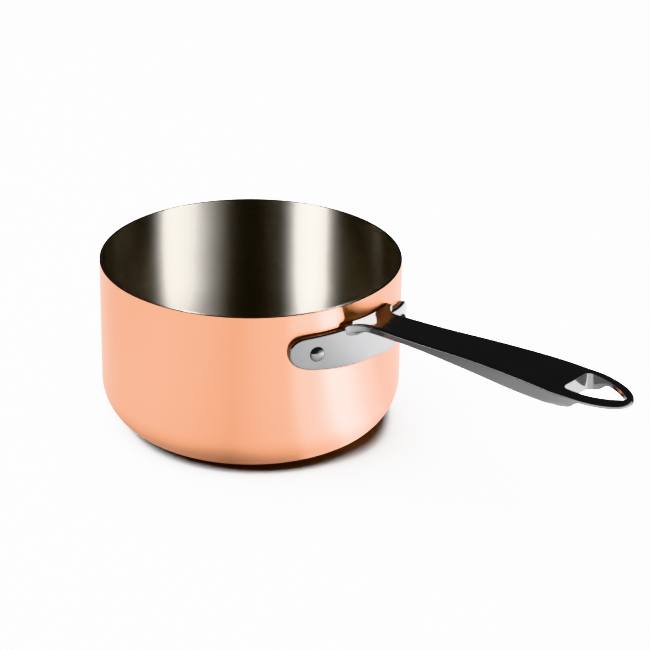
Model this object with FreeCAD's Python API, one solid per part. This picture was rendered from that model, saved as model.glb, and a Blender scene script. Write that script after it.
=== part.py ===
import FreeCAD, Part

import math
import os

from FreeCAD import Vector

# A 16 cm saucepan. Lengths are millimetres and angles are degrees.
# The origin is the centre of the underside of the base, +Z runs up the pan's
# axis, and +X runs out along the handle.

# Pan: three bonded layers, listed from the outside in.
PAN_R = 80.0
PAN_H = 93.0
CORNER_R = 26.0
COPPER_T = 0.4
CORE_T = 1.0
STEEL_T = 0.4

# Base plate of the handle, which wraps round the wall. The points on its
# edge are an angle round the pan and a height. The plate and its rivets sit
# turned a little about the handle's line, with the ear on the +Y side lower.
PLATE_R = 83.4
PLATE_TOP_Z = 82.0
PLATE_SHOULDER_Z = 78.2
PLATE_LOW_Z = 59.0
PLATE_EAR_Z = 68.1
PLATE_EAR_ANGLE = 34.7
PLATE_SHOULDER_ANGLE = 27.3
PLATE_EAR_ROUND = (32.6, 75.0)
PLATE_LOWER_EDGE = [(32.8, 63.8), (27.5, 59.9), (15, 58.4)]
PLATE_TURN = 4.6
PLATE_MIDDLE_Z = 70.0

# Rivets that hold the base plate to the wall.
RIVET_ANGLE = 24.5
RIVET_Z = 68.8
RIVET_SHANK_R = 2.5
RIVET_HEAD_R = 4.0
RIVET_DOME_H = 2.2
RIVET_TAIL_H = 1.1

# Handle in plan: a neck that flares into the plate, a grip that widens
# slowly, and a loop with a D-shaped hole for hanging.
NECK_FLARE_R = 10.0
NECK_HALF_W = 10.45
LOOP_CENTRE_X = 212.0
LOOP_LENGTH = 30.0
LOOP_HALF_W = 15.8
HOLE_START_X = 209.5
HOLE_SIDE_X = 213.0
HOLE_HALF_W = 11.1
HOLE_SIDE_R = 37.4
HOLE_CORNER_R = 3.0
HOLE_TIP_R = 2.5

# Handle from the side, as (x, z) points of its top and underside.
TOP_LINE = [
    (76, 82.0), (86, 82.2), (97, 83.5), (120, 84.7), (150, 86.8), (175, 88.5), (200, 89.2),
    (222, 88.2), (244, 87.6)]
GRIP_UNDERSIDE = [(209, 79.3), (198, 78.9), (188, 78.7), (165, 79.3), (140, 80.0), (112, 80.1), (89, 79.2)]
NOSE_UNDERSIDE = [(222, 85.0), (219.6, 84.0), (217.5, 82.2), (213.5, 80.1), (209, 79.3)]
LOOP_UNDERSIDE = [(244, 84.5), (232, 84.7), (222, 85.0)]
ROOT_UNDERSIDE = [(89, 79.2), (86, 78.6), (83, 76.6)]

# Light bevels along the grip's upper side edges, deepest near the loop.
BEVEL_START_X = 143.0
BEVEL_DEEP_X = 200.0
BEVEL_END_X = 217.0
BEVEL_W = 1.6
BEVEL_H = 2.8
BEVEL_TINY = 0.02

# How far cutting solids run past what they cut, and how near counts as the same place.
OVERRUN = 5.0
NEAR = 0.1

UP = Vector(0, 0, 1)
ORIGIN = Vector(0, 0, 0)


def line(start, end):
    return Part.LineSegment(start, end).toShape()


def arc(start, middle, end):
    return Part.Arc(start, middle, end).toShape()


def smooth_curve(points, start_tangent=None, end_tangent=None):
    """A spline through the points, with its end directions fixed where both are given."""
    curve = Part.BSplineCurve()
    if start_tangent and end_tangent:
        curve.interpolate(Points=points, InitialTangent=start_tangent, FinalTangent=end_tangent)
    else:
        curve.interpolate(points)
    return curve.toShape()


def filled(edges):
    return Part.Face(Part.Wire(Part.__sortEdges__(edges)))


def with_mirror(edges):
    """The edges and their mirror images on the other side of the handle's middle plane."""
    return edges + [edge.mirror(ORIGIN, Vector(0, 1, 0)) for edge in edges]


def radial(angle):
    return Vector(math.cos(math.radians(angle)), math.sin(math.radians(angle)), 0)


def pan_cylinder(radius):
    """A cylinder round the pan's axis, with its seam on the side away from the handle."""
    cylinder = Part.makeCylinder(radius, PAN_H + 2 * OVERRUN, Vector(0, 0, -OVERRUN))
    cylinder.rotate(ORIGIN, UP, 180)
    return cylinder


def rivet_place(angle, distance):
    """A point on a rivet's axis at one distance from the pan's axis."""
    drop = math.tan(math.radians(PLATE_TURN)) * radial(angle).y * PAN_R
    return radial(angle) * distance + Vector(0, 0, RIVET_Z - drop)


def rivet_hole(angle):
    """A cylinder the size of a rivet's shank, through the wall and the base plate."""
    length = PLATE_R - PAN_R + 4 * OVERRUN
    start = rivet_place(angle, PAN_R - 2 * OVERRUN)
    return Part.makeCylinder(RIVET_SHANK_R, length, start, radial(angle))


def layer_line(depth):
    """Half of the pan's section at one depth into its wall: base, round corner, wall."""
    corner = Vector(PAN_R - CORNER_R, 0, CORNER_R)
    radius = CORNER_R - depth
    base_end = corner + Vector(0, 0, -radius)
    wall_start = corner + Vector(radius, 0, 0)
    middle = corner + Vector(1, 0, -1).normalize() * radius
    axis_point = Vector(0, 0, depth)
    rim_point = Vector(PAN_R - depth, 0, PAN_H)
    edges = [line(axis_point, base_end), arc(base_end, middle, wall_start), line(wall_start, rim_point)]
    return edges, axis_point, rim_point


def pan_layer(depth, thickness):
    outer, outer_axis, outer_rim = layer_line(depth)
    inner, inner_axis, inner_rim = layer_line(depth + thickness)
    section = filled(outer + inner + [line(outer_axis, inner_axis), line(outer_rim, inner_rim)])
    layer = section.revolve(ORIGIN, UP, 360)
    return layer.cut([rivet_hole(RIVET_ANGLE), rivet_hole(-RIVET_ANGLE)])


def base_plate():
    """The curved plate against the wall, with an ear for a rivet at each side."""
    middle_r = (PAN_R + PLATE_R) / 2

    def at(angle, z):
        return Vector(0, middle_r * math.sin(math.radians(angle)), z)

    shoulder = at(PLATE_SHOULDER_ANGLE, PLATE_SHOULDER_Z)
    ear_end = at(PLATE_EAR_ANGLE, PLATE_EAR_Z)
    bottom = at(0, PLATE_LOW_Z)
    ear = arc(shoulder, at(*PLATE_EAR_ROUND), ear_end)
    lower_points = [ear_end] + [at(angle, z) for angle, z in PLATE_LOWER_EDGE] + [bottom]
    lower = smooth_curve(lower_points, Vector(0, 0, -1), Vector(0, -1, 0))
    half = [line(at(0, PLATE_TOP_Z), shoulder), ear, lower]
    outline = filled(with_mirror(half))
    block = outline.extrude(Vector(PLATE_R + OVERRUN, 0, 0))
    block.rotate(Vector(0, 0, PLATE_MIDDLE_Z), Vector(1, 0, 0), -PLATE_TURN)
    return block.common(pan_cylinder(PLATE_R)).cut(pan_cylinder(PAN_R))


def flare_centre():
    """Centre of the round between the base plate's outer face and the side of the neck."""
    y = NECK_HALF_W + NECK_FLARE_R
    return Vector(math.sqrt((PLATE_R + NECK_FLARE_R) ** 2 - y ** 2), y, 0)


def grip_side():
    """Both ends of the straight side of the grip: at the flare, and where it meets the loop.

    The second value is the place on the loop's ellipse whose tangent passes through the first.
    """
    start = Vector(flare_centre().x, NECK_HALF_W, 0)
    across = (start.x - LOOP_CENTRE_X) / LOOP_LENGTH
    up = start.y / LOOP_HALF_W
    angle = math.atan2(up, across) - math.acos(1 / math.hypot(across, up))
    end = Vector(LOOP_CENTRE_X + LOOP_LENGTH * math.cos(angle), LOOP_HALF_W * math.sin(angle), 0)
    return start, end, angle


def handle_plan():
    """Outline of the neck, grip and loop seen from above."""
    centre = flare_centre()
    plate_touch = centre * (PLATE_R / centre.Length)
    neck, meet, angle = grip_side()
    flare_middle = centre + ((plate_touch - centre) + (neck - centre)).normalize() * NECK_FLARE_R
    root = Vector(PAN_R - OVERRUN, plate_touch.y, 0)
    ellipse = Part.Ellipse(Vector(LOOP_CENTRE_X, 0, 0), LOOP_LENGTH, LOOP_HALF_W)
    half = [
        line(root, plate_touch),
        arc(plate_touch, flare_middle, neck),
        line(neck, meet),
        ellipse.toShape(0, angle),
    ]
    back = line(root, Vector(root.x, -root.y, 0))
    return filled(with_mirror(half) + [back])


def handle_side():
    """Outline of the neck, grip and loop seen from the side."""
    top = [Vector(x, 0, z) for x, z in TOP_LINE]
    grip = [Vector(x, 0, z) for x, z in GRIP_UNDERSIDE]
    nose = [Vector(x, 0, z) for x, z in NOSE_UNDERSIDE]
    loop = [Vector(x, 0, z) for x, z in LOOP_UNDERSIDE]
    root = [Vector(x, 0, z) for x, z in ROOT_UNDERSIDE]
    low_corner = Vector(top[0].x, 0, root[-1].z)
    return filled([
        smooth_curve(top),
        line(top[-1], loop[0]),
        smooth_curve(loop),
        smooth_curve(nose),
        smooth_curve(grip),
        smooth_curve(root),
        line(root[-1], low_corner),
        line(low_corner, top[0]),
    ])


def hang_hole():
    """The D-shaped hole: a straight inner end, bowed sides and a small round tip."""
    side_centre_y = HOLE_HALF_W - HOLE_SIDE_R
    tip_x = HOLE_SIDE_X + math.sqrt(HOLE_SIDE_R ** 2 - side_centre_y ** 2)
    half_angle = math.asin((tip_x - HOLE_SIDE_X) / HOLE_SIDE_R) / 2
    side_middle = Vector(
        HOLE_SIDE_X + HOLE_SIDE_R * math.sin(half_angle),
        side_centre_y + HOLE_SIDE_R * math.cos(half_angle), 0)
    corner = Vector(HOLE_START_X, HOLE_HALF_W, 0)
    side_start = Vector(HOLE_SIDE_X, HOLE_HALF_W, 0)
    half = [line(corner, side_start), arc(side_start, side_middle, Vector(tip_x, 0, 0))]
    inner_end = line(corner, Vector(corner.x, -corner.y, 0))
    prism = filled(with_mirror(half) + [inner_end]).extrude(UP * 2 * PAN_H)
    upright = [edge for edge in prism.Edges if edge.BoundBox.ZLength > PAN_H]
    corners = [edge for edge in upright if abs(edge.CenterOfMass.x - HOLE_START_X) < NEAR]
    tip = [edge for edge in upright if abs(edge.CenterOfMass.x - tip_x) < NEAR]
    return prism.makeFillet(HOLE_CORNER_R, corners).makeFillet(HOLE_TIP_R, tip)


def grip_edge(x):
    """The upper side edge of the grip at one distance from the pan's axis, on the +Y side."""
    neck, end, _ = grip_side()
    y = neck.y + (end.y - neck.y) * (x - neck.x) / (end.x - neck.x)
    top = Part.BSplineCurve()
    top.interpolate([Vector(px, 0, pz) for px, pz in TOP_LINE])
    station = Part.LineSegment(Vector(x, 0, 0), Vector(x, 0, 2 * PAN_H))
    hit = top.intersectCC(station)[0]
    return Vector(x, y, hit.Z)


def edge_bevel():
    """A sliver of a solid whose removal bevels the +Y upper edge of the grip."""
    sections = []
    for x, share in [(BEVEL_START_X, 0), (BEVEL_DEEP_X, 1), (BEVEL_END_X, 0)]:
        width = BEVEL_TINY + BEVEL_W * share
        height = BEVEL_TINY + BEVEL_H * share
        edge = grip_edge(x)
        inner = edge + Vector(0, -width, 0)
        lower = edge + Vector(0, 0, -height)
        slope = (inner - lower)
        high = inner + slope
        low = lower - slope
        outer = Vector(x, low.y, high.z)
        sections.append(Part.makePolygon([high, low, outer, high]))
    return Part.makeLoft(sections, True, True)


def handle():
    """One casting: base plate, neck, grip and loop."""
    plan = handle_plan().extrude(UP * 2 * PAN_H)
    side = handle_side()
    side.translate(Vector(0, -PAN_R, 0))
    bar = plan.common(side.extrude(Vector(0, 2 * PAN_R, 0)))
    bevel = edge_bevel()
    bar = bar.cut([hang_hole(), bevel, bevel.mirror(ORIGIN, Vector(0, 1, 0))])
    casting = bar.fuse(base_plate()).cut(pan_cylinder(PAN_R))
    casting = casting.cut([rivet_hole(RIVET_ANGLE), rivet_hole(-RIVET_ANGLE)])
    return casting.removeSplitter()


def dome(height, base_distance, angle, outward):
    """A spherical cap on the rivet's axis that stands on a disc of the head's radius."""
    radius = (RIVET_HEAD_R ** 2 + height ** 2) / (2 * height)
    direction = radial(angle) * outward
    base = rivet_place(angle, base_distance)
    ball = Part.makeSphere(radius, base + direction * (height - radius))
    disc = Part.makeCylinder(RIVET_HEAD_R, height + OVERRUN, base, direction)
    return ball.common(disc)


def rivet(angle):
    """Domed head outside the plate, shank through plate and wall, flatter head inside the pan."""
    inside_r = PAN_R - COPPER_T - CORE_T - STEEL_T
    sink = PLATE_R - math.sqrt(PLATE_R ** 2 - RIVET_HEAD_R ** 2)
    head = dome(RIVET_DOME_H + sink, PLATE_R - sink, angle, 1).cut(pan_cylinder(PLATE_R))
    tail = dome(RIVET_TAIL_H, inside_r, angle, -1).common(pan_cylinder(inside_r))
    shank = rivet_hole(angle).common(pan_cylinder(PLATE_R)).cut(pan_cylinder(inside_r))
    return shank.fuse([head, tail]).removeSplitter()


def main():
    os.makedirs("parts", exist_ok=True)
    nodes = {
        "copper_skin": pan_layer(0, COPPER_T),
        "aluminium_core": pan_layer(COPPER_T, CORE_T),
        "steel_lining": pan_layer(COPPER_T + CORE_T, STEEL_T),
        "handle": handle(),
        "rivet_left": rivet(-RIVET_ANGLE),
        "rivet_right": rivet(RIVET_ANGLE),
    }
    for name, shape in nodes.items():
        solid = shape.Solids[0]
        solid.exportStep(f"parts/{name}.step")
        print(f"{name}: {len(shape.Solids)} solid, valid {solid.isValid()}, {solid.Volume / 1000:.2f} cm3")


main()
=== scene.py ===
import math

import bmesh
import bpy
import numpy as np
from mathutils import Matrix, Vector


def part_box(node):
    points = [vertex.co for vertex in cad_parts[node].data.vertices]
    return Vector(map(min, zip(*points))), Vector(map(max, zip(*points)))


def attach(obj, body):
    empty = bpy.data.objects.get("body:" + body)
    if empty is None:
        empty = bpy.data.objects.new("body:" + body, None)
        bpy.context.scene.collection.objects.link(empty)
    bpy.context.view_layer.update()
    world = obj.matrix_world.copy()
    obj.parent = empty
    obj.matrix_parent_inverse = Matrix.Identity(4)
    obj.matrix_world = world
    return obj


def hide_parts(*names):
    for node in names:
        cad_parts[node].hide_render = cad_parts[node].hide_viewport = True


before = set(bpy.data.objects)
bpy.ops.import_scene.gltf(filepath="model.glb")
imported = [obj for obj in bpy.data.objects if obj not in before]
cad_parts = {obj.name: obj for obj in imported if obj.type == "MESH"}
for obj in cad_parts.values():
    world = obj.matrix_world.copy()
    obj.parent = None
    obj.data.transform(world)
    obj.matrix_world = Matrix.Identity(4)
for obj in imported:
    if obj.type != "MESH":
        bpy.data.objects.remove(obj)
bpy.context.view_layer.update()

# Shapes are worked out in millimetres and scaled to metres when a mesh is made.
MM = 0.001
# In metres: two corners of a face this near are one, and points this near are welded.
SAME_PLACE = 1e-7
WELD = 2e-6


def box_mm(node):
    low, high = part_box(node)
    return low / MM, high / MM


# Sizes that come from the frame. The inner layer is as thick as the copper.
pan_high = box_mm("copper_skin")[1]
PAN_R = round(pan_high.y, 1)
PAN_H = pan_high.z
COPPER_T = box_mm("aluminium_core")[0].z
CLAD_T = box_mm("steel_lining")[0].z
WALL_T = CLAD_T + COPPER_T
HANDLE_END_X = box_mm("handle")[1].x

# Pan. At the rim, the copper and the core end a little below the lining.
CORNER_R = 26.0
RIM_ROUND = 0.18
COPPER_RECESS = 0.04
CORE_RECESS = 0.12
# Where its profile has points: along the flat base, and up the straight wall.
FLAT_SHARES = (0, 0.02, 0.1, 0.3, 0.6, 0.8, 0.9, 0.97)
WALL_SHARES = (0.06, 0.3, 0.6, 0.9, 0.985)

# Base plate of the handle. Its outline is drawn on the unrolled wall, as
# distance round from the handle's line and height.
PLATE_R = 83.4
PLATE_MIDDLE_R = 81.7
PLATE_BACK_R = PAN_R - 0.1
PLATE_ROUND = 1.3
PLATE_TOP = 82.0
PLATE_LOW = 59.0
PLATE_SHOULDER = (40.0, 78.2)
PLATE_EAR_CORNER = (49.5, 77.4)
PLATE_EAR_END = (49.5, 68.1)
PLATE_LOWER_CORNER = (49.3, 61.0)
PLATE_LOWER_BEND = (37.8, 59.5)
PLATE_BOTTOM_BEND = (22.0, 57.6)
PLATE_TURN = math.tan(math.radians(4.6))
# Under the neck, the plate's top edge is tucked down by this much, up to the
# first distance from the handle's line and fading out by the second.
PLATE_TUCK = 1.0
PLATE_TUCK_FADE = (10.0, 17.5)

# Handle in plan.
NECK_HALF_W = 10.45
FLARE_X = 8.6
FLARE_SIDE = 8.3
FLARE_DOWN = 3.0
NECK_X = PLATE_R + FLARE_X
# The neck runs on into the plate, through these distances from the pan's axis.
NECK_END_RADII = (PLATE_R - 0.8, PLATE_R - 1.8, PLATE_BACK_R)
# The grip's rows are bent like the plate's face at the neck, and straight from here on.
CURL_LENGTH = 26.0
LOOP_CENTRE_X = 212.0
LOOP_LENGTH = HANDLE_END_X - LOOP_CENTRE_X
LOOP_HALF_W = 15.8
HOLE_START_X = 209.5
HOLE_SIDE_X = 213.0
HOLE_HALF_W = 11.1
HOLE_SIDE_R = 37.4
HOLE_CORNER_R = 3.0
HOLE_TIP_R = 2.5

# Handle from the side, as (x, z) points.
TOP_LINE = [
    (79, 83.2), (84, 83.4), (90, 83.3), (97, 83.6), (108, 84.1), (120, 84.7),
    (150, 86.8), (175, 88.5), (200, 89.2), (222, 88.2), (244, 87.6)]
GRIP_UNDERSIDE = [(89, 79.2), (112, 80.1), (140, 80.0), (165, 79.3), (188, 78.7), (198, 78.9), (209, 79.3)]
NOSE_UNDERSIDE = [(209, 79.3), (213.5, 80.1), (217.5, 82.2), (219.6, 84.0), (222, 85.0)]
LOOP_UNDERSIDE = [(222, 85.0), (232, 84.7), (244, 84.5)]
NOSE_X = GRIP_UNDERSIDE[-1][0]
RING_X = LOOP_UNDERSIDE[0][0]

# The hollow across the top of the neck: its depth, the x where it starts and
# ends, and its half width.
HOLLOW_DEPTH = 0.7
HOLLOW_START = (79.5, 84.0)
HOLLOW_END = (84.5, 91.5)
HOLLOW_HALF_W = 11.0

# The section of the handle's outer edge. Each list has a first value and then
# its changes along the handle, as (start x, end x, new value).
BEVEL_WIDTH = [0.8, (143, 200, 1.7), (205, 219, 0.9)]
BEVEL_HEIGHT = [0.8, (143, 200, 2.8), (205, 219, 1.5)]
BEVEL_ROUND = [0.6, (205, 219, 0.5)]
UNDER_ROUND = [0.8, (95, 130, 1.5), (202, 209, 3.2), (213, 219, 0.7)]
HOLE_ROUND = 0.5

# Rivets.
RIVET_DOME_H = 2.2
RIVET_DOME_SHAPE = 1.1
RIVET_TAIL_H = 1.1
RIVET_SHANK_R = 2.5
RIVET_SINK = 0.3

# How finely curved surfaces are divided.
LATHE_TURNS = 256
PAN_CORNER_STEPS = 28
RIM_STEPS = 4
EDGE_STEPS = 3
UNDER_STEPS = 5
MIDDLE_LANES = 6
ARM_LANES = 4
GRIP_STEPS = 64
NECK_STEPS = 14
HOLE_CORNER_STEPS = 4
HOLE_SIDE_STEPS = 44
HOLE_TIP_STEPS = 6
PLATE_STEPS = 14
PLATE_EDGE_STEPS = 6
PLATE_FACE_STEPS = 8
RIVET_STEPS = 12
RIVET_TURNS = 48


def smoothstep(low, high, value):
    t = min(max((value - low) / (high - low), 0.0), 1.0)
    return t * t * (3 - 2 * t)


def mix(a, b, share):
    return a + (b - a) * share


def along_handle(changes, x):
    """The value at x of something that changes smoothly, in stages, along the handle."""
    value = changes[0]
    for start, end, new in changes[1:]:
        value = mix(value, new, smoothstep(start, end, x))
    return value


def quarter_turn(steps):
    return [math.radians(90 * i / steps) for i in range(steps + 1)]


def full_turn(steps):
    return [2 * math.pi * i / steps for i in range(steps)]


def spline(points):
    """A smooth curve y(x) through the points: a natural cubic spline."""
    x, y = np.array(points, float).T
    last = len(x) - 1
    gap = np.diff(x)
    slope = np.diff(y) / gap
    system = np.eye(last + 1)
    right = np.zeros(last + 1)
    for i in range(1, last):
        system[i, i - 1:i + 2] = gap[i - 1], 2 * (gap[i - 1] + gap[i]), gap[i]
        right[i] = 6 * (slope[i] - slope[i - 1])
    bend = np.linalg.solve(system, right)

    def at(value):
        i = int(np.clip(np.searchsorted(x, value) - 1, 0, last - 1))
        before, after = value - x[i], x[i + 1] - value
        cubic = (bend[i] * after ** 3 + bend[i + 1] * before ** 3) / (6 * gap[i])
        straight_left = (y[i] / gap[i] - bend[i] * gap[i] / 6) * after
        straight_right = (y[i + 1] / gap[i] - bend[i + 1] * gap[i] / 6) * before
        return cubic + straight_left + straight_right

    return at


def bezier(start, control, end, steps):
    """Points on a quadratic curve, without its first point."""
    start, control, end = (np.array(point, float) for point in (start, control, end))
    shares = [(i + 1) / steps for i in range(steps)]
    return [(1 - t) ** 2 * start + 2 * t * (1 - t) * control + t ** 2 * end for t in shares]


def rounded(corners, radii, steps):
    """An open line with rounded inner corners. Each curve starts and ends a radius from its corner."""
    corners = [np.array(c, float) for c in corners]
    line = [corners[0]]
    for before, corner, after, radius in zip(corners, corners[1:], corners[2:], radii):
        back = before - corner
        on = after - corner
        start = corner + back / np.linalg.norm(back) * radius
        end = corner + on / np.linalg.norm(on) * radius
        line.append(start)
        line += bezier(start, corner, end, steps)
    line.append(corners[-1])
    return line


def rounded_part(corners, radii, steps):
    """Only the rounded part of such a line, without its two ends."""
    return rounded(corners, radii, steps)[1:-1]


class Shell:
    """Collects grids of points in millimetres and welds them into one mesh."""

    def __init__(self):
        self.bm = bmesh.new()

    def grid(self, rows, closed=False):
        """Adds a face between each four neighbours. A closed grid's rows run all the way round."""
        made = [[self.bm.verts.new(Vector(p) * MM) for p in row] for row in rows]
        for upper, lower in zip(made, made[1:]):
            count = len(upper)
            for i in range(count if closed else count - 1):
                j = (i + 1) % count
                self.face([upper[i], upper[j], lower[j], lower[i]])

    def face(self, verts):
        distinct = []
        for vert in verts:
            if all((vert.co - other.co).length > SAME_PLACE for other in distinct):
                distinct.append(vert)
        if len(distinct) > 2:
            self.bm.faces.new(distinct)

    def cap(self, loop):
        self.face([self.bm.verts.new(Vector(p) * MM) for p in loop])

    def piece(self, name, material):
        bmesh.ops.remove_doubles(self.bm, verts=self.bm.verts, dist=WELD)
        bmesh.ops.recalc_face_normals(self.bm, faces=self.bm.faces)
        mesh = bpy.data.meshes.new(name)
        self.bm.to_mesh(mesh)
        self.bm.free()
        for polygon in mesh.polygons:
            polygon.use_smooth = True
        mesh.materials.append(material)
        made = bpy.data.objects.new(name, mesh)
        bpy.context.scene.collection.objects.link(made)
        normals = made.modifiers.new("even_normals", "WEIGHTED_NORMAL")
        normals.weight = 100
        return made


# Materials. Depths are in metres.
RING_MARK_DRIFT = 0.004
RING_MARK_DEPTH = 0.00002
CUT_MARK_DEPTH = 0.00004
SCRATCH_DEPTH = 0.000004
ROUGHNESS_SPREAD = 0.03

# The floor's painted shade in reflections: a grey, dark near the pan in front, middling
# out along the handle, and light behind. Second reflections of it are dimmed further, also painted shade.
FLOOR_PAINTED_SHADE_DARK = 0.042
FLOOR_PAINTED_SHADE_MIDDLE = 0.15
FLOOR_PAINTED_SHADE_LIGHT = 0.24
FLOOR_ALONG_X = (0.0, 0.23)
FLOOR_BEHIND_Y = (-0.1, 0.07)
FLOOR_SECOND_LOOK_PAINTED_DIM = 0.45


# The colour sockets of a Mix node: its two inputs and its result.
MIX_FIRST = 6
MIX_SECOND = 7
MIX_RESULT = 2


class Nodes:
    """Short ways to add and join the nodes of one material, light or world."""

    def __init__(self, tree):
        self.tree = tree
        tree.nodes.clear()

    def add(self, kind, settings=None, inputs=None):
        node = self.tree.nodes.new(kind)
        for key, value in (settings or {}).items():
            setattr(node, key, value)
        for key, value in (inputs or {}).items():
            self.feed(node.inputs[key], value)
        return node

    def feed(self, socket, value):
        if isinstance(value, bpy.types.NodeSocket):
            self.tree.links.new(value, socket)
        elif isinstance(value, bpy.types.Node):
            self.tree.links.new(value.outputs[0], socket)
        else:
            socket.default_value = value

    def math(self, operation, *values):
        node = self.add("ShaderNodeMath", {"operation": operation})
        for socket, value in zip(node.inputs, values):
            self.feed(socket, value)
        return node.outputs[0]

    def remap(self, value, from_low, from_high, to_low, to_high, smooth=False):
        kind = "SMOOTHSTEP" if smooth else "LINEAR"
        return self.add("ShaderNodeMapRange", {"interpolation_type": kind}, {
            "Value": value, "From Min": from_low, "From Max": from_high,
            "To Min": to_low, "To Max": to_high}).outputs["Result"]

    def noise(self, vector, scale, detail, roughness):
        return self.add("ShaderNodeTexNoise", None, {
            "Vector": vector, "Scale": scale, "Detail": detail, "Roughness": roughness}).outputs["Fac"]

    def mix_colour(self, share, first, second):
        node = self.add("ShaderNodeMix", {"data_type": "RGBA"})
        self.feed(node.inputs["Factor"], share)
        self.feed(node.inputs[MIX_FIRST], first)
        self.feed(node.inputs[MIX_SECOND], second)
        return node.outputs[MIX_RESULT]

    def length(self, x, y):
        """How far (x, y) is from the axis."""
        squares = self.math("ADD", self.math("MULTIPLY", x, x), self.math("MULTIPLY", y, y))
        return self.math("SQRT", squares)


def new_material(name):
    material = bpy.data.materials.new(name)
    material.use_nodes = True
    nodes = Nodes(material.node_tree)
    return material, nodes


def finish_material(nodes, settings):
    shader = nodes.add("ShaderNodeBsdfPrincipled", None, settings)
    nodes.add("ShaderNodeOutputMaterial", None, {"Surface": shader.outputs[0]})


def turned_coordinates(nodes):
    """The place, and coordinates for marks round the pan's axis: slow round it, quick across it."""
    place = nodes.add("ShaderNodeTexCoord").outputs["Object"]
    x, y, z = nodes.add("ShaderNodeSeparateXYZ", None, {"Vector": place}).outputs
    angle = nodes.math("ARCTAN2", y, x)
    joined = nodes.add("ShaderNodeCombineXYZ", None, {
        "X": nodes.math("MULTIPLY", nodes.math("COSINE", angle), RING_MARK_DRIFT),
        "Y": nodes.math("MULTIPLY", nodes.math("SINE", angle), RING_MARK_DRIFT),
        "Z": nodes.math("SUBTRACT", z, nodes.length(x, y))})
    return place, joined.outputs[0]


def turned_metal(name, light, dark, roughness, anisotropy, line_depth):
    """Metal polished round the pan's axis, with fine ring marks and slow changes of tone."""
    material, nodes = new_material(name)
    place, turned = turned_coordinates(nodes)
    cloud = nodes.noise(place, scale=18.0, detail=4.0, roughness=0.6)
    lines = nodes.noise(turned, scale=2600.0, detail=3.0, roughness=0.65)
    wide_lines = nodes.noise(turned, scale=420.0, detail=2.0, roughness=0.5)
    tone = nodes.math("ADD", nodes.math("MULTIPLY", cloud, 0.7), nodes.math("MULTIPLY", wide_lines, 0.3))
    gloss = nodes.math("ADD", nodes.math("MULTIPLY", lines, 0.6), nodes.math("MULTIPLY", cloud, 0.4))
    bump = nodes.add("ShaderNodeBump", None, {"Strength": 0.35, "Distance": line_depth, "Height": lines})
    tangent = nodes.add("ShaderNodeTangent", {"direction_type": "RADIAL", "axis": "Z"})
    low_gloss, high_gloss = roughness - ROUGHNESS_SPREAD, roughness + ROUGHNESS_SPREAD
    finish_material(nodes, {
        "Base Color": nodes.mix_colour(nodes.remap(tone, 0.35, 0.65, 0.0, 1.0), dark, light),
        "Metallic": 1.0,
        "Roughness": nodes.remap(gloss, 0.3, 0.7, low_gloss, high_gloss),
        "Anisotropic": anisotropy,
        "Anisotropic Rotation": 0.25,
        "Normal": bump.outputs[0],
        "Tangent": tangent.outputs[0]})
    return material


def polished_metal(name, light, dark, roughness):
    """Buffed metal: near-mirror, with hairline scratches in all directions and faint smears."""
    material, nodes = new_material(name)
    place = nodes.add("ShaderNodeTexCoord").outputs["Object"]
    smear = nodes.noise(place, scale=45.0, detail=4.0, roughness=0.6)
    grain = nodes.noise(place, scale=2200.0, detail=3.0, roughness=0.7)
    bump = nodes.add("ShaderNodeBump", None, {"Strength": 0.12, "Distance": SCRATCH_DEPTH, "Height": grain})
    finish_material(nodes, {
        "Base Color": nodes.mix_colour(nodes.remap(smear, 0.35, 0.65, 0.0, 1.0), dark, light),
        "Metallic": 1.0,
        "Roughness": nodes.remap(smear, 0.3, 0.7, roughness * 0.8, roughness * 1.2),
        "Normal": bump.outputs[0]})
    return material


def floor_material():
    """White paper to the camera. In the metal's reflections it has painted shade instead: greyer, lighter
    behind the pan than in front, and dimmer in second reflections.
    """
    material, nodes = new_material("paper_floor")
    place = nodes.add("ShaderNodeTexCoord").outputs["Object"]
    fibre = nodes.noise(place, scale=900.0, detail=3.0, roughness=0.6)
    white = nodes.mix_colour(fibre, (0.90, 0.90, 0.90, 1), (0.93, 0.93, 0.93, 1))
    x, y, _ = nodes.add("ShaderNodeSeparateXYZ", None, {"Vector": place}).outputs
    # Painted shade: the floor's grey in reflections, darker in front of the pan and lighter behind it.
    front = nodes.remap(x, *FLOOR_ALONG_X, FLOOR_PAINTED_SHADE_DARK, FLOOR_PAINTED_SHADE_MIDDLE)
    behind = nodes.remap(y, *FLOOR_BEHIND_Y, 0.0, 1.0, smooth=True)
    level = nodes.math(
        "ADD",
        nodes.math("MULTIPLY", front, nodes.math("SUBTRACT", 1.0, behind)),
        nodes.math("MULTIPLY", behind, FLOOR_PAINTED_SHADE_LIGHT))
    path = nodes.add("ShaderNodeLightPath").outputs
    # Painted shade: second reflections see the floor's grey dimmed further.
    look = nodes.remap(path["Ray Depth"], 1.0, 2.0, 1.0, FLOOR_SECOND_LOOK_PAINTED_DIM)
    painted_shade_dimmed = nodes.math("MULTIPLY", level, look)
    painted_shade_grey = nodes.add("ShaderNodeCombineXYZ", None, {"X": painted_shade_dimmed, "Y": painted_shade_dimmed, "Z": painted_shade_dimmed}).outputs[0]
    finish_material(nodes, {
        "Base Color": nodes.mix_colour(path["Is Camera Ray"], painted_shade_grey, white),
        "Roughness": 0.9,
        "Specular IOR Level": 0.1})
    return material


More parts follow.
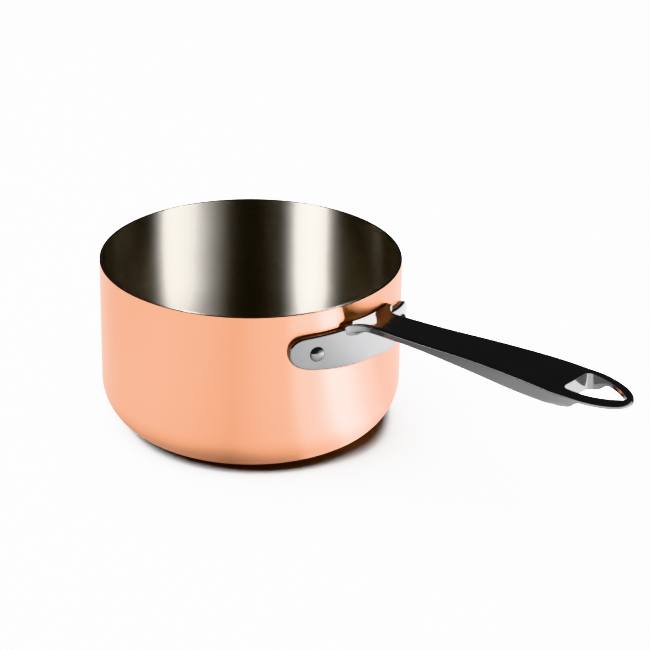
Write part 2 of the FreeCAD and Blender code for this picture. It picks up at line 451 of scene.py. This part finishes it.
copper = turned_metal(
    "polished_copper", light=(0.955, 0.44, 0.25, 1), dark=(0.935, 0.42, 0.235, 1),
    roughness=0.31, anisotropy=1.0, line_depth=RING_MARK_DEPTH)
lining_steel = turned_metal(
    "satin_steel", light=(0.64, 0.61, 0.56, 1), dark=(0.60, 0.57, 0.52, 1),
    roughness=0.30, anisotropy=1.0, line_depth=RING_MARK_DEPTH)
core_edge = turned_metal(
    "cut_aluminium", light=(0.78, 0.78, 0.79, 1), dark=(0.66, 0.66, 0.67, 1),
    roughness=0.4, anisotropy=0.3, line_depth=CUT_MARK_DEPTH)
handle_steel = polished_metal(
    "polished_steel", light=(0.66, 0.66, 0.67, 1), dark=(0.62, 0.62, 0.63, 1), roughness=0.10)
rivet_steel = polished_metal(
    "rivet_steel", light=(0.68, 0.68, 0.69, 1), dark=(0.62, 0.62, 0.63, 1), roughness=0.14)


# Pan.

def lathe(name, profile, material):
    """A closed shell from a profile of (radius, z) whose first and last points are on the axis."""
    shell = Shell()
    angles = full_turn(LATHE_TURNS)
    shell.grid([[(r * math.cos(a), r * math.sin(a), z) for a in angles] for r, z in profile], closed=True)
    return shell.piece(name, material)


def wall_line(depth, rim_z):
    """Base, round corner and wall at one depth into the metal, from the axis to the rim."""
    radius = CORNER_R - depth
    middle = PAN_R - CORNER_R
    flat = [(middle * share, depth) for share in FLAT_SHARES]
    turn = quarter_turn(PAN_CORNER_STEPS)
    corner = [(middle + radius * math.sin(a), CORNER_R - radius * math.cos(a)) for a in turn]
    wall = [(PAN_R - depth, mix(CORNER_R, rim_z, share)) for share in WALL_SHARES]
    return flat + corner + wall


def layer(name, depth, thickness, top_z, material, node):
    """One layer of the pan, with its cut edge at the rim slightly rounded."""
    outer = wall_line(depth, top_z)
    inner = wall_line(depth + thickness, top_z)
    corners = [outer[-1], (PAN_R - depth, top_z), (PAN_R - depth - thickness, top_z), inner[-1]]
    edge = rounded_part(corners, [RIM_ROUND, RIM_ROUND], RIM_STEPS)
    piece = lathe(name, outer + edge + inner[::-1], material)
    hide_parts(node)
    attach(piece, "root")


layer("copper_body", 0, COPPER_T, PAN_H - COPPER_RECESS, copper, "copper_skin")
layer("core_layer", COPPER_T, CLAD_T - COPPER_T, PAN_H - CORE_RECESS, core_edge, "aluminium_core")
layer("inner_lining", CLAD_T, COPPER_T, PAN_H, lining_steel, "steel_lining")


# Handle.

top_at = spline(TOP_LINE)
grip_under_at = spline(GRIP_UNDERSIDE)
nose_under_at = spline(NOSE_UNDERSIDE)
loop_under_at = spline(LOOP_UNDERSIDE)


def under_at(x):
    if x < NOSE_X:
        return grip_under_at(x)
    return nose_under_at(x) if x < RING_X else loop_under_at(x)


def plate_x(y, radius=PLATE_R):
    return math.sqrt(radius ** 2 - y ** 2)


def grip_half_width(x):
    """The side of the grip: a straight line from the neck that meets the loop's ellipse."""
    across = (NECK_X - LOOP_CENTRE_X) / LOOP_LENGTH
    up = NECK_HALF_W / LOOP_HALF_W
    angle = math.atan2(up, across) - math.acos(1 / math.hypot(across, up))
    end_x = LOOP_CENTRE_X + LOOP_LENGTH * math.cos(angle)
    end_y = LOOP_HALF_W * math.sin(angle)
    return mix(NECK_HALF_W, end_y, (x - NECK_X) / (end_x - NECK_X))


def outer_edge(x):
    """The outer edge's section at x: bevel, side and rounded underside.

    Its points are (distance in from the side, distance in from the top or underside).
    """
    width = along_handle(BEVEL_WIDTH, x)
    height = along_handle(BEVEL_HEIGHT, x)
    soft = along_handle(BEVEL_ROUND, x)
    under = along_handle(UNDER_ROUND, x)
    corners = [(width + 1, 0), (width, 0), (0, height), (0, height + 1)]
    top = rounded_part(corners, [soft, soft], EDGE_STEPS)
    bottom = rounded_part([(0, under + 1), (0, 0), (under + 1, 0)], [under], UNDER_STEPS)
    return top, bottom


def hole_edge():
    """The same for the hole's edge, which is rounded alike above and below."""
    top = rounded_part([(HOLE_ROUND + 1, 0), (0, 0), (0, HOLE_ROUND + 1)], [HOLE_ROUND], EDGE_STEPS)
    return top, top[::-1]


def edge_points(point, inward, edge):
    """The edge's section at one place, from the top surface round to the underside."""
    made = []
    for section, surface, sign in zip(edge, (top_at, under_at), (-1, 1)):
        for inset, offset in section:
            x, y = point[0] + inward[0] * inset, point[1] + inward[1] * inset
            made.append((x, y, surface(x) + sign * offset))
    return made


def between(first, last, count, height):
    """A row of points from one to the other, on the top or underside surface."""
    row = [tuple(mix(a, b, i / count) for a, b in zip(first, last)) for i in range(count + 1)]
    return [row[0]] + [(x, y, height(x)) for x, y, _ in row[1:-1]] + [row[-1]]


def hole_outline():
    """Half of the hole's edge from its straight end to its tip, with directions into the metal."""
    side_y = HOLE_HALF_W - HOLE_SIDE_R
    tip_x = HOLE_SIDE_X + math.sqrt((HOLE_SIDE_R - HOLE_TIP_R) ** 2 - side_y ** 2)
    side_end = math.atan2(-side_y, tip_x - HOLE_SIDE_X)
    arcs = [
        (HOLE_START_X + HOLE_CORNER_R, HOLE_HALF_W - HOLE_CORNER_R, HOLE_CORNER_R, math.pi - a)
        for a in quarter_turn(HOLE_CORNER_STEPS)]
    for i in range(HOLE_SIDE_STEPS + 1):
        arcs.append((HOLE_SIDE_X, side_y, HOLE_SIDE_R, mix(math.pi / 2, side_end, i / HOLE_SIDE_STEPS)))
    for i in range(1, HOLE_TIP_STEPS + 1):
        arcs.append((tip_x, 0, HOLE_TIP_R, side_end * (1 - i / HOLE_TIP_STEPS)))
    made = []
    for x, y, radius, angle in arcs:
        out = (math.cos(angle), math.sin(angle))
        made.append(((x + radius * out[0], y + radius * out[1]), out))
    return made


def loop_outline(inner):
    """A point of the loop's outer ellipse for each point of the hole's edge, with directions inward."""
    first_x, first_y = inner[0][0]
    start_inner = math.atan2(first_y, first_x - LOOP_CENTRE_X)
    start_across = HOLE_START_X - LOOP_CENTRE_X
    start_y = LOOP_HALF_W * math.sqrt(1 - (start_across / LOOP_LENGTH) ** 2)
    start_outer = math.atan2(start_y, start_across)
    made = []
    for (x, y), _ in inner:
        polar = math.atan2(y, x - LOOP_CENTRE_X) * start_outer / start_inner
        level = math.hypot(LOOP_HALF_W * math.cos(polar), LOOP_LENGTH * math.sin(polar))
        reach = LOOP_LENGTH * LOOP_HALF_W / level
        across, side = reach * math.cos(polar), reach * math.sin(polar)
        normal = Vector((across / LOOP_LENGTH ** 2, side / LOOP_HALF_W ** 2)).normalized()
        made.append(((LOOP_CENTRE_X + across, side), (-normal.x, -normal.y)))
    return made


def mirrored(rows):
    return [[(x, -y, z) for x, y, z in row] for row in rows]


def build_handle():
    """The casting without its base plate, built on one side and mirrored."""
    shell = Shell()
    inner = hole_outline()
    outer = loop_outline(inner)
    hole_row, loop_row = ring(shell, inner, outer)
    neck_rows = grip(shell, inner[0][0][1], outer[0][0][1], hole_row, loop_row)
    hole_end(shell, hole_row)
    neck(shell, *neck_rows)
    return shell.piece("cast_handle", handle_steel)


def ring(shell, inner, outer):
    """The loop, from the hole's edge out to the ellipse. Gives its edges where it meets the grip."""
    hole_section = hole_edge()
    inner_rows, outer_rows, top_rows, under_rows = [], [], [], []
    for (inner_point, inner_in), (outer_point, outer_in) in zip(inner, outer):
        inner_row = edge_points(inner_point, inner_in, hole_section)
        outer_row = edge_points(outer_point, outer_in, outer_edge(outer_point[0]))
        inner_rows.append(inner_row)
        outer_rows.append(outer_row)
        top_rows.append(between(inner_row[0], outer_row[0], ARM_LANES, top_at))
        under_rows.append(between(inner_row[-1], outer_row[-1], ARM_LANES, under_at))
    for rows in (inner_rows, outer_rows, top_rows, under_rows):
        shell.grid(rows)
        shell.grid(mirrored(rows))
    return inner_rows[0], outer_rows[0]


def across_grip(lane, edge, z):
    """A row across the grip at one height, from edge to edge, through a lane on each side."""
    def level(_):
        return z

    arm = between(lane, edge, ARM_LANES, level)
    centre = between((lane[0], -lane[1], lane[2]), lane, MIDDLE_LANES, level)
    return mirrored([arm[::-1]])[0] + centre[1:-1] + arm


def curled(row, x, curl):
    """A row at one x, bent like the base plate's face by a share that fades along the grip."""
    return [(x - curl * (PLATE_R - plate_x(y)), y, z) for _, y, z in row]


def grip(shell, hole_y, loop_y, hole_row, loop_row):
    """The straight-sided grip, up to the hole's straight end. Gives its rows next to the neck."""
    side_rows, top_rows, under_rows = [], [], []
    for i in range(GRIP_STEPS):
        x = mix(NECK_X, HOLE_START_X, i / GRIP_STEPS)
        curl = 1 - smoothstep(NECK_X, NECK_X + CURL_LENGTH, x)
        half = grip_half_width(x)
        lane_y = hole_y * half / loop_y
        side = edge_points((x, half), (0, -1), outer_edge(x))
        top = across_grip((x, lane_y, top_at(x)), side[0], top_at(x))
        under = across_grip((x, lane_y, under_at(x)), side[-1], under_at(x))
        side_rows.append(curled(side, x, curl))
        top_rows.append(curled(top, x, curl))
        under_rows.append(curled(under, x, curl))
    side_rows.append(loop_row)
    top_rows.append(across_grip(hole_row[0], loop_row[0], top_at(hole_row[0][0])))
    under_rows.append(across_grip(hole_row[-1], loop_row[-1], under_at(hole_row[-1][0])))
    for rows in (side_rows, mirrored(side_rows), top_rows, under_rows):
        shell.grid(rows)
    return side_rows[0], top_rows[0], under_rows[0]


def hole_end(shell, row):
    """The hole's straight end, between its two corners."""
    shares = [i / MIDDLE_LANES for i in range(MIDDLE_LANES + 1)]
    shell.grid([[(x, mix(-y, y, share), z) for share in shares] for x, y, z in row])


def flare_directions(side, centre_z):
    """Where each point of the neck's side goes as it flares: outward, and in its lower half also down."""
    made = []
    for i, (_, _, z) in enumerate(side):
        before, after = side[max(i - 1, 0)], side[min(i + 1, len(side) - 1)]
        out, down = before[2] - after[2], min(after[1] - before[1], 0.0)
        if z > centre_z:
            out, down = 1.0, 0.0
        size = math.hypot(out, down)
        made.append((out / size, down / size))
    return made


def neck_row(base, half, radius, along, z, hollow):
    """A row across the neck's top or underside, stretched to its width there and hollowed in the middle."""
    made = []
    for _, y, _ in base:
        new_y = y * half / base[-1][1]
        share = max(0.0, 1 - (new_y / HOLLOW_HALF_W) ** 2) ** 2
        made.append((plate_x(new_y, radius) + along, new_y, z - hollow * share))
    return made


def neck(shell, side, top, under):
    """The neck flares into the base plate: sideways and down, tangent to the plate's face."""
    high_z, low_z = top[0][2], under[0][2]
    directions = flare_directions(side, (high_z + low_z) / 2)
    stations = [(angle, PLATE_R) for angle in quarter_turn(NECK_STEPS)[1:]]
    stations += [(math.pi / 2, radius) for radius in NECK_END_RADII]
    side_rows, top_rows, under_rows = [side], [top], [under]
    for angle, radius in stations:
        spread = 1 - math.cos(angle)
        along = FLARE_X * (1 - math.sin(angle))
        reach = radius + along
        lift = top_at(reach) - top_at(NECK_X)
        new_side = []
        for (_, y, z), (out, down) in zip(side, directions):
            new_y = y + out * FLARE_SIDE * spread
            new_z = z + down * FLARE_DOWN * spread + lift * (z - low_z) / (high_z - low_z)
            new_side.append((plate_x(new_y, radius) + along, new_y, new_z))
        hollow = HOLLOW_DEPTH * smoothstep(*HOLLOW_START, reach) * (1 - smoothstep(*HOLLOW_END, reach))
        side_rows.append(new_side)
        top_rows.append(neck_row(top, new_side[0][1], radius, along, top_at(reach), hollow))
        under_rows.append(neck_row(under, new_side[-1][1], radius, along, new_side[-1][2], 0.0))
    for rows in (side_rows, mirrored(side_rows), top_rows, under_rows):
        shell.grid(rows)
    close_root(shell, top_rows[-1], side_rows[-1], under_rows[-1])


def close_root(shell, top, side, under):
    """The end of the neck inside the pan's wall, in strips that follow the wall's curve."""
    for i in range(1, len(top) - 2):
        shell.cap([top[i], top[i + 1], under[i + 1], under[i]])
    shell.cap([top[-2]] + side + [under[-2]])
    shell.cap([top[1]] + mirrored([side])[0] + [under[1]])


def plate_outline():
    """The upper and lower edge, with as many points each, from the handle's line to the ear's end."""
    top = []
    for i in range(PLATE_STEPS + 1):
        share = i / PLATE_STEPS
        top.append(np.array((PLATE_SHOULDER[0] * share, mix(PLATE_TOP, PLATE_SHOULDER[1], share))))
    top += bezier(PLATE_SHOULDER, PLATE_EAR_CORNER, PLATE_EAR_END, PLATE_STEPS)
    bottom = (0.0, PLATE_LOW)
    low = [np.array(bottom)] + bezier(bottom, PLATE_BOTTOM_BEND, PLATE_LOWER_BEND, PLATE_STEPS)
    low += bezier(PLATE_LOWER_BEND, PLATE_LOWER_CORNER, PLATE_EAR_END, PLATE_STEPS)
    return top, low


def inward_normals(line, side):
    """Directions into the plate along its upper edge (side 1) or its lower edge (side -1)."""
    made = []
    for i in range(len(line)):
        step = line[min(i + 1, len(line) - 1)] - line[max(i - 1, 0)]
        step = step / np.linalg.norm(step)
        made.append(np.array((step[1], -step[0])) * side)
    made[0] = np.array((0.0, -1.0 * side))
    made[-1] = np.array((-1.0, 0.0))
    return made


def on_wall(point, radius, side):
    """A point of the plate's outline put on the wall. The plate is turned: one ear is lower."""
    angle = point[0] / PLATE_MIDDLE_R
    y = side * radius * math.sin(angle)
    return (radius * math.cos(angle), y, point[1] - y * PLATE_TURN)


def tucked(point):
    """A point of the upper edge, moved down where the neck covers it."""
    tuck = PLATE_TUCK * (1 - smoothstep(*PLATE_TUCK_FADE, abs(point[0])))
    return np.array((point[0], point[1] - tuck))


def plate_edge(line, inward, side, place):
    """Rows over the rounded edge, from the plate's back to its face. Place moves each point."""
    edge = [(0.0, PLATE_BACK_R)]
    for a in quarter_turn(PLATE_EDGE_STEPS):
        edge.append((PLATE_ROUND * (1 - math.cos(a)), PLATE_R - PLATE_ROUND * (1 - math.sin(a))))
    rows = []
    for point, normal in zip(line, inward):
        rows.append([on_wall(place(point + normal * inset), radius, side) for inset, radius in edge])
    return rows


def plate_rung(up, down, radius):
    """A row down the plate's face or back, round the wall's curve."""
    made = []
    for i in range(PLATE_FACE_STEPS + 1):
        share = i / PLATE_FACE_STEPS
        angle = mix(math.atan2(up[1], up[0]), math.atan2(down[1], down[0]), share)
        made.append((radius * math.cos(angle), radius * math.sin(angle), mix(up[2], down[2], share)))
    return made


def half_plate(shell, side):
    """The plate on one side of the handle's line: side is 1 for +Y and -1 for -Y."""
    top, low = plate_outline()
    top_rows = plate_edge(top, inward_normals(top, 1), side, tucked)
    low_rows = plate_edge(low, inward_normals(low, -1), side, np.array)
    face_rows = [plate_rung(up[-1], down[-1], PLATE_R) for up, down in zip(top_rows, low_rows)]
    back_rows = [plate_rung(up[0], down[0], PLATE_BACK_R) for up, down in zip(top_rows, low_rows)]
    for rows in (top_rows, low_rows, face_rows, back_rows):
        shell.grid(rows)


cast = build_handle()
plate_shell = Shell()
half_plate(plate_shell, -1)
half_plate(plate_shell, 1)
plate = plate_shell.piece("base_plate", handle_steel)
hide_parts("handle")
for piece in (cast, plate):
    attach(piece, "root")


# Rivets.

def rivet(node):
    """Domed head outside the plate and flatter head inside the pan, on one shank."""
    low, high = box_mm(node)
    centre = (low + high) / 2
    head_r = (high.z - low.z) / 2
    inside_r = PAN_R - WALL_T
    outer_seat, inner_seat = PLATE_R - RIVET_SINK, inside_r + RIVET_SINK
    quarter = quarter_turn(RIVET_STEPS)
    dome = [(head_r * math.cos(a), PLATE_R + RIVET_DOME_H * math.sin(a) ** RIVET_DOME_SHAPE) for a in quarter]
    shank = [
        (head_r, outer_seat), (RIVET_SHANK_R, outer_seat),
        (RIVET_SHANK_R, inner_seat), (head_r, inner_seat)]
    tail = [(head_r * math.cos(a), inside_r - RIVET_TAIL_H * math.sin(a)) for a in quarter]
    spin = Matrix.Rotation(math.atan2(centre.y, centre.x), 3, "Z")
    turns = full_turn(RIVET_TURNS)
    rows = []
    for r, out in dome[::-1] + shank + tail:
        circle = [Vector((out, r * math.cos(a), centre.z + r * math.sin(a))) for a in turns]
        rows.append([tuple(spin @ point) for point in circle])
    shell = Shell()
    shell.grid(rows, closed=True)
    piece = shell.piece(node + "_head", rivet_steel)
    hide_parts(node)
    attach(piece, "root")


rivet("rivet_left")
rivet("rivet_right")


# Floor, world and camera.

CAMERA_AZIMUTH = math.radians(40.0)
CAMERA_ELEVATION = math.radians(24.83)
CAMERA_ROLL = math.radians(0.89)
CAMERA_DISTANCE = 1.3388
CAMERA_TARGET = Vector((0.0304, 0.0255, 0.0530))
CAMERA_LENS = 138.5
CAMERA_SENSOR = 36.0
FLOOR_R = 15.0
FLOOR_SIDES = 96


def make_floor():
    bpy.ops.mesh.primitive_circle_add(vertices=FLOOR_SIDES, radius=FLOOR_R, fill_type="NGON")
    floor = bpy.context.object
    floor.name = "floor"
    floor.data.materials.append(floor_material())


def make_camera():
    back = Vector((
        math.sin(CAMERA_AZIMUTH) * math.cos(CAMERA_ELEVATION),
        -math.cos(CAMERA_AZIMUTH) * math.cos(CAMERA_ELEVATION),
        math.sin(CAMERA_ELEVATION)))
    data = bpy.data.cameras.new("camera")
    data.lens = CAMERA_LENS
    data.sensor_width = CAMERA_SENSOR
    camera = bpy.data.objects.new("camera", data)
    bpy.context.scene.collection.objects.link(camera)
    camera.rotation_mode = "QUATERNION"
    turn = (-back).to_track_quat("-Z", "Y").to_matrix() @ Matrix.Rotation(CAMERA_ROLL, 3, "Z")
    camera.rotation_quaternion = turn.to_quaternion()
    camera.location = CAMERA_TARGET + back * CAMERA_DISTANCE
    bpy.context.scene.camera = camera


# Studio. Directions are given from the pan: degrees to the camera's right, and up.
TO_RIGHT = Vector((math.cos(CAMERA_AZIMUTH), math.sin(CAMERA_AZIMUTH), 0))
TO_CAMERA = Vector((math.sin(CAMERA_AZIMUTH), -math.cos(CAMERA_AZIMUTH), 0))
AMBIENT = 0.05
BACKDROP = 4.0
# How bright a light looks in a second reflection, and on the floor.
SECOND_LOOK = 0.1
FLOOR_GLINTS = 0.08
BOX_DISTANCE = 1.5
FADE_POWER = 2.4
OVERHEAD_SIZE = 3.5
OVERHEAD_HEIGHT = 2.2
OVERHEAD_LEFT = 0.6
OVERHEAD_POWER = 480.0
# The floor as the copper sees it, as (direction from the pan, level).
FLOOR_GLOW = [
    (-140, 1.2), (-120, 1.7), (-88, 2.0), (-55, 2.5), (-32, 2.2), (-8, 1.35),
    (11, 2.2), (25, 2.4), (29, 5.5), (45, 6.5), (53, 24.0), (63, 20.0),
    (73, 8.5), (84, 6.0), (90, 3.0), (115, 2.6), (130, 3.0)]
GLOW_SIZE = 3.0
GLOW_Z = 0.0005
# It is dark up to the first distance from the pan's axis, and full from the second.
GLOW_NEAR = (0.078, 0.115)
GLOW_UNDER_PAN = 0.2
# The card by the neck: directions in degrees, sizes in millimetres.
NECK_CARD_SIDES = (41.6, 54.3)
NECK_CARD_R = 80.4
NECK_CARD_LOW = 83.3
NECK_CARD_TOP = 89.5
NECK_CARD_STRENGTH = 40.0


def direction(azimuth, elevation):
    azimuth, elevation = math.radians(azimuth), math.radians(elevation)
    level = TO_RIGHT * math.sin(azimuth) + TO_CAMERA * math.cos(azimuth)
    return level * math.cos(elevation) + Vector((0, 0, math.sin(elevation)))


def straight_look(nodes, depth):
    """1 in a first reflection, whose ray depth is given, and little in a second one or on the floor."""
    depths = nodes.add("ShaderNodeLightPath").outputs
    in_metal = nodes.remap(depths["Ray Depth"], depth, depth + 1.0, 1.0, SECOND_LOOK)
    on_floor = nodes.remap(depths["Diffuse Depth"], 0.0, 1.0, 1.0, FLOOR_GLINTS)
    return nodes.math("MULTIPLY", in_metal, on_floor)


def width_of(sides, distance):
    """How wide a flat thing is that fills the angle between two directions at a distance."""
    return 2 * distance * math.tan(math.radians(sides[1] - sides[0]) / 2)


def area_light(name, width, height, strength, centre, aim):
    data = bpy.data.lights.new(name, "AREA")
    data.shape = "RECTANGLE"
    data.size = width
    data.size_y = height
    data.energy = strength * width * height
    light = bpy.data.objects.new(name, data)
    bpy.context.scene.collection.objects.link(light)
    light.location = centre
    light.rotation_euler = aim.to_track_quat("-Z", "Y").to_euler()
    light.visible_camera = False
    return light


def shade_light(light, nodes, power, pieces, depth=1.0):
    """Give a light its node-made strength, and let it light only some pieces."""
    strength = nodes.math("MULTIPLY", power, straight_look(nodes, depth))
    glow = nodes.add("ShaderNodeEmission", None, {"Strength": strength})
    nodes.add("ShaderNodeOutputLight", None, {"Surface": glow.outputs[0]})
    lit = bpy.data.collections.new(light.name + "_lit")
    for piece in pieces:
        lit.objects.link(piece)
    light.light_linking.receiver_collection = lit


def light_nodes(light):
    light.data.use_nodes = True
    return Nodes(light.data.node_tree)


def soft_box(name, pieces, sides, heights, strength, fades):
    """A soft box between two directions. Each side fades out over a share of the width."""
    elevation = sum(heights) / 2
    middle = direction(sum(sides) / 2, elevation)
    width = width_of(sides, BOX_DISTANCE * math.cos(math.radians(elevation)))
    height = width_of(heights, BOX_DISTANCE)
    light = area_light(name, width, height, strength, middle * BOX_DISTANCE, -middle)
    nodes = light_nodes(light)
    across = nodes.add("ShaderNodeNewGeometry").outputs["Parametric"]
    share = nodes.add("ShaderNodeSeparateXYZ", None, {"Vector": across}).outputs[0]
    power = 1.0
    for edge, fade in zip((0.0, 1.0), fades):
        if fade:
            rise = nodes.remap(share, edge, mix(edge, 1 - edge, fade), 0.0, 1.0)
            power = nodes.math("MULTIPLY", power, nodes.math("POWER", rise, FADE_POWER))
    shade_light(light, nodes, power, pieces)


def glow_ramp(nodes, share):
    """The floor's level in one direction, which is given as a share of a full turn."""
    ramp = nodes.add("ShaderNodeValToRGB", None, {"Fac": share})
    stops = ramp.color_ramp.elements
    top = max(level for _, level in FLOOR_GLOW)
    for azimuth, level in FLOOR_GLOW:
        stop = stops.new(azimuth / 360 + 0.5)
        stop.color = (level / top, level / top, level / top, 1)
    for end in (stops[0], stops[-1]):
        end.color = stops[1].color
    return nodes.math("MULTIPLY", ramp.outputs[0], top)


def floor_glow(pieces):
    """The bright floor as the copper sees it: its level changes with the direction from the pan."""
    light = area_light("floor_glow", GLOW_SIZE, GLOW_SIZE, math.pi, Vector((0, 0, GLOW_Z)), Vector((0, 0, 1)))
    # Face up, so that across it is along +X, and along it is towards -Y.
    light.rotation_euler = (math.pi, 0, 0)
    nodes = light_nodes(light)
    place = nodes.add("ShaderNodeNewGeometry").outputs["Parametric"]
    across, along, _ = nodes.add("ShaderNodeSeparateXYZ", None, {"Vector": place}).outputs
    x = nodes.math("MULTIPLY", nodes.math("SUBTRACT", across, 0.5), GLOW_SIZE)
    y = nodes.math("MULTIPLY", nodes.math("SUBTRACT", 0.5, along), GLOW_SIZE)
    near = nodes.remap(nodes.length(x, y), *GLOW_NEAR, GLOW_UNDER_PAN, 1.0, smooth=True)
    # Round the pan, counted from the point away from the camera.
    turned = nodes.math("ADD", nodes.math("ARCTAN2", y, x), math.pi * 1.5 - CAMERA_AZIMUTH)
    share = nodes.math("WRAP", nodes.math("DIVIDE", turned, 2 * math.pi), 1.0, 0.0)
    power = nodes.math("MULTIPLY", near, glow_ramp(nodes, share))
    shade_light(light, nodes, power, pieces, depth=2.0)


def neck_card(pieces):
    """A small white card by the neck, where the neck's top would mirror the bright wall."""
    outward = direction(sum(NECK_CARD_SIDES) / 2, 0)
    width = width_of(NECK_CARD_SIDES, NECK_CARD_R)
    height = NECK_CARD_TOP - NECK_CARD_LOW
    centre = outward * NECK_CARD_R + Vector((0, 0, (NECK_CARD_TOP + NECK_CARD_LOW) / 2))
    light = area_light("neck_card", width * MM, height * MM, NECK_CARD_STRENGTH, centre * MM, outward)
    shade_light(light, light_nodes(light), 1.0, pieces)


def make_overhead():
    """A broad light on the floor, from a little left of the pan. The metal doesn't mirror it."""
    place = Vector((0, 0, OVERHEAD_HEIGHT)) - TO_RIGHT * OVERHEAD_LEFT
    strength = OVERHEAD_POWER / OVERHEAD_SIZE ** 2
    light = area_light("overhead", OVERHEAD_SIZE, OVERHEAD_SIZE, strength, place, -place)
    light.visible_glossy = False


def make_lights():
    names = ("core_layer", "cast_handle", "base_plate", "rivet_left_head", "rivet_right_head")
    steel = [bpy.data.objects[name] for name in names]
    neck_only = [bpy.data.objects["cast_handle"]]
    outside = [bpy.data.objects["copper_body"]]
    inside = [bpy.data.objects["inner_lining"]]
    floor_glow(outside)
    soft_box("edge_card", steel, sides=(20, 106), heights=(-1, 20), strength=12.0, fades=(0.5, 0))
    soft_box("horizon_card", steel, sides=(-100, -50), heights=(0, 5), strength=28.0, fades=(0.3, 0.3))
    neck_card(neck_only)
    soft_box("inside_right", inside, sides=(14, 88), heights=(22, 38), strength=270.0, fades=(0.74, 0.26))
    soft_box("inside_left", inside, sides=(-74, -24), heights=(22, 38), strength=400.0, fades=(0.5, 0.5))
    soft_box("inside_fill", inside, sides=(-120, 120), heights=(15, 35), strength=5.0, fades=(0, 0))
    make_overhead()


def make_world():
    world = bpy.data.worlds.new("studio")
    bpy.context.scene.world = world
    world.use_nodes = True
    world.cycles_visibility.diffuse = False
    nodes = Nodes(world.node_tree)
    seen = nodes.add("ShaderNodeLightPath").outputs["Is Camera Ray"]
    strength = nodes.remap(seen, 0.0, 1.0, AMBIENT, BACKDROP)
    studio = nodes.add("ShaderNodeBackground", None, {"Color": (1, 1, 1, 1), "Strength": strength})
    nodes.add("ShaderNodeOutputWorld", None, {"Surface": studio.outputs[0]})


make_floor()
make_camera()
make_world()
make_lights()
bpy.context.scene.view_settings.view_transform = "Khronos PBR Neutral"
